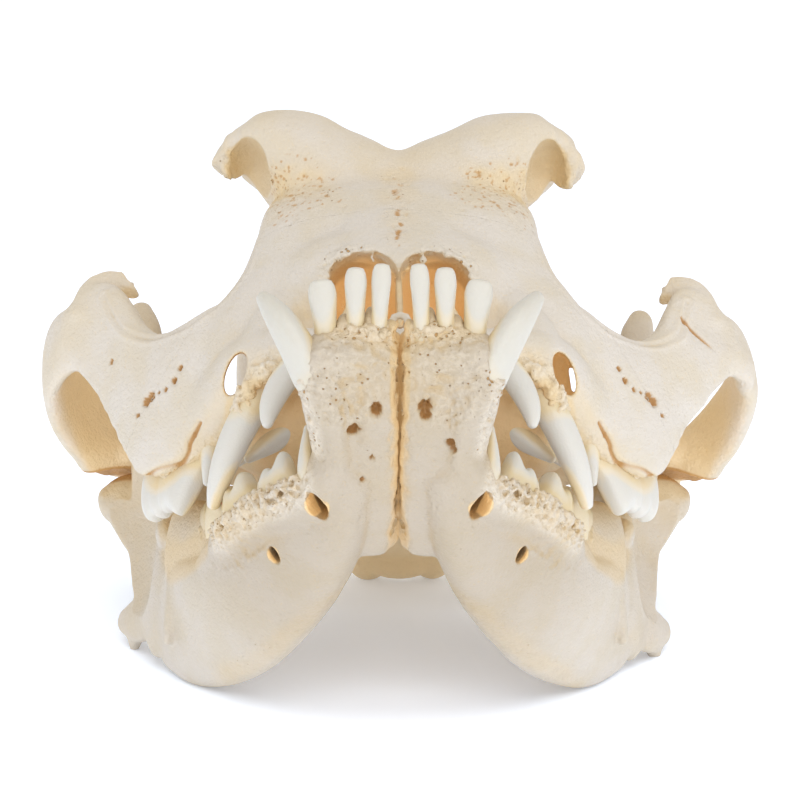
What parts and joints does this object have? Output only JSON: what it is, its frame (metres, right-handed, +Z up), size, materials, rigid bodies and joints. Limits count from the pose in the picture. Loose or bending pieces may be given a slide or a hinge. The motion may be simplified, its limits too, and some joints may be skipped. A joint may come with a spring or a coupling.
{
  "type": "dog skull",
  "caption": "Dry skull of a short-faced dog of the bulldog type with its lower jaw, resting nose up on the jaw and the occipital condyles, bone with teeth fused in.",
  "frame": {"origin": "centre of the footprint's bounding box, on the floor", "axes": "+Z up, -Y the way the face looks, +X the animal's left, so the symmetry plane is X = 0"},
  "size_m": [0.1358, 0.1612, 0.1033],
  "materials": {
    "bone": "dry bone, matt to slightly silky",
    "tooth": "enamel, softly glossy"
  },
  "bodies": {
    "root": {"braincase": "bone", "brow": "bone", "cheek_left": "bone", "cheek_right": "bone", "jaw_left": "bone", "jaw_right": "bone", "snout": "bone"}
  },
  "joints": []
}
